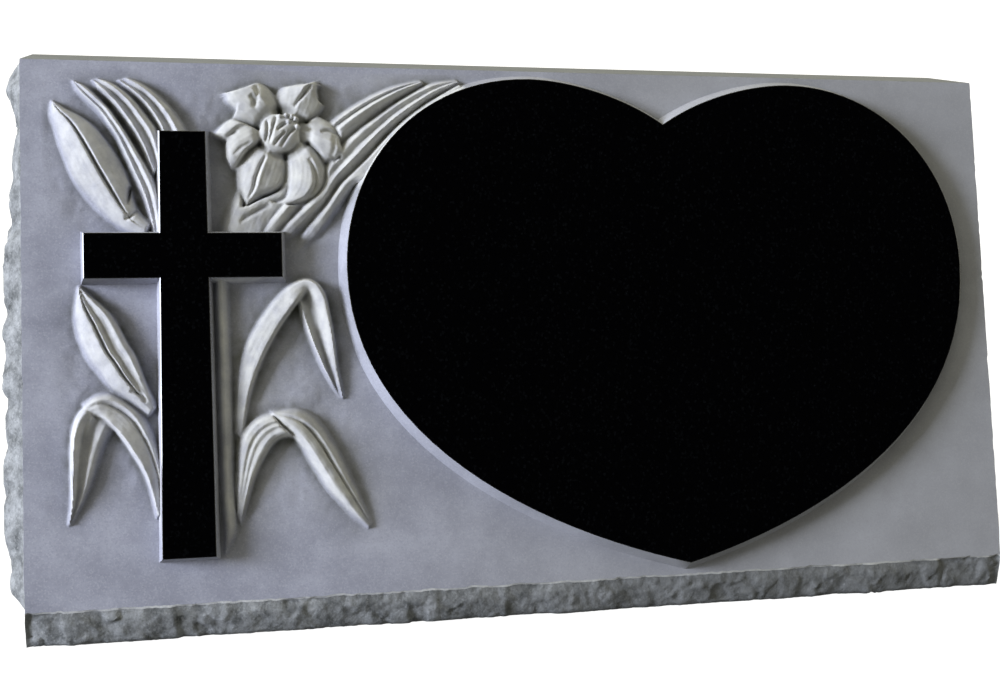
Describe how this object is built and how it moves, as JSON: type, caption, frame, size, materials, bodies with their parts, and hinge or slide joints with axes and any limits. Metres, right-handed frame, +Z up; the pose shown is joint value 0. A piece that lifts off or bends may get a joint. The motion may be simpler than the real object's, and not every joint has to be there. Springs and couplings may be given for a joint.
{
  "type": "granite monument",
  "caption": "Slant-faced grave marker of dark granite with a polished heart, a polished cross and a carved spray of lilies, rock-pitched round the edges.",
  "frame": {"origin": "middle of the sawn underside's bounding box, on the ground", "axes": "+Z up, +X to the right of someone reading the stone, +Y to the back, so the slanted face looks along -Y"},
  "size_m": [0.7938, 0.225, 0.398],
  "materials": {
    "dark_granite": "frosted light grey on the face and carving, rock-pitched round the sides, polished black on the heart and the cross"
  },
  "bodies": {
    "root": {"carved_stone": "dark_granite"}
  },
  "joints": []
}
